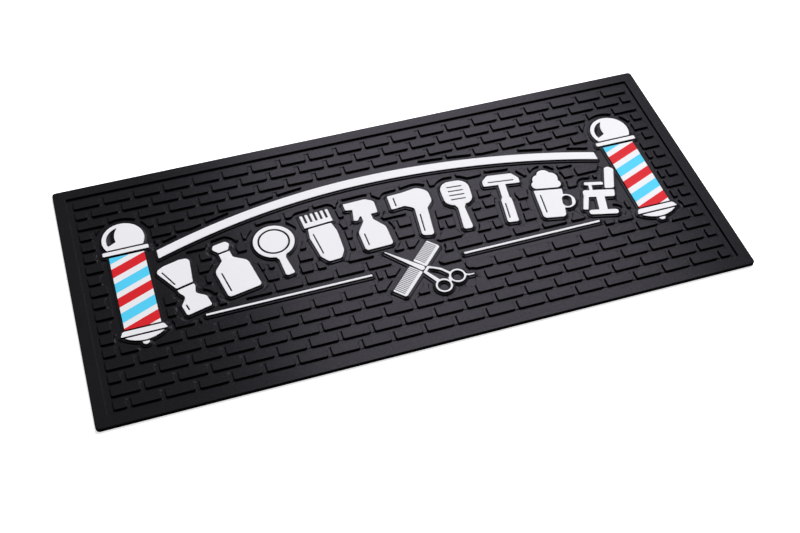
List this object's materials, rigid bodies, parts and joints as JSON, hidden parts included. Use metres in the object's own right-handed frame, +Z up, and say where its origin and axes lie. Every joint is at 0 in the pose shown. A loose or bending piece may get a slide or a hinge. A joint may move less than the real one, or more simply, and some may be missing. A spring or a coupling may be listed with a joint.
{
  "type": "barber station counter mat",
  "caption": "Flat soft mat for a barber station counter, with brick relief that keeps tools from sliding and raised colour inlays showing barber poles and grooming tools.",
  "frame": {"origin": "centre of the flat underside", "axes": "+X along the long side, +Y towards the back edge (the top of the emblem), +Z up out of the patterned face"},
  "size_m": [0.45, 0.203, 0.0033],
  "materials": {
    "black_pvc": "satin moulded soft PVC, fine grain",
    "white_pvc": "satin moulded soft PVC, smooth",
    "red_pvc": "satin moulded soft PVC, smooth",
    "blue_pvc": "satin moulded soft PVC, smooth"
  },
  "bodies": {
    "root": {"arch_bar": "white_pvc", "comb_lower": "white_pvc", "comb_upper": "white_pvc", "figure_01_brush_bristles": "white_pvc", "figure_01_brush_handle": "white_pvc", "figure_02_bottle_body": "white_pvc", "figure_02_bottle_stopper": "white_pvc", "figure_03_mirror_frame": "white_pvc", "figure_03_mirror_glass": "white_pvc", "figure_04_clipper_body": "white_pvc", "figure_04_clipper_head": "white_pvc", "figure_05_spray_figure": "white_pvc", "figure_06_dryer_figure": "white_pvc", "figure_07_paddle_figure": "white_pvc", "figure_08_razor_figure": "white_pvc", "figure_09_mug_cup": "white_pvc", "figure_09_mug_foam": "white_pvc", "figure_10_chair_back": "white_pvc", "figure_10_chair_seat": "white_pvc", "mat_base": "black_pvc", "pole_left_ball": "white_pvc", "pole_left_bowl": "white_pvc", "pole_left_collar": "white_pvc", "pole_left_flange": "white_pvc", "pole_left_stripe_01_blue": "blue_pvc", "pole_left_stripe_02_white": "white_pvc", "pole_left_stripe_03_red": "red_pvc", "pole_left_stripe_04_white": "white_pvc", "pole_left_stripe_05_blue": "blue_pvc", "pole_left_stripe_06_white": "white_pvc", "pole_left_stripe_07_red": "red_pvc", "pole_left_stripe_08_white": "white_pvc", "pole_left_stripe_09_blue": "blue_pvc", "pole_left_stripe_10_white": "white_pvc", "pole_left_stripe_11_red": "red_pvc", "pole_left_stripe_12_white": "white_pvc", "pole_left_tip": "white_pvc", "pole_right_ball": "white_pvc", "pole_right_bowl": "white_pvc", "pole_right_collar": "white_pvc", "pole_right_flange": "white_pvc", "pole_right_stripe_01_blue": "blue_pvc", "pole_right_stripe_02_white": "white_pvc", "pole_right_stripe_03_red": "red_pvc", "pole_right_stripe_04_white": "white_pvc", "pole_right_stripe_05_blue": "blue_pvc", "pole_right_stripe_06_white": "white_pvc", "pole_right_stripe_07_red": "red_pvc", "pole_right_stripe_08_white": "white_pvc", "pole_right_stripe_09_blue": "blue_pvc", "pole_right_stripe_10_white": "white_pvc", "pole_right_stripe_11_red": "red_pvc", "pole_right_stripe_12_white": "white_pvc", "pole_right_tip": "white_pvc", "scissors_blade": "white_pvc", "scissors_handles": "white_pvc", "underline_left": "white_pvc", "underline_right": "white_pvc"}
  },
  "joints": []
}
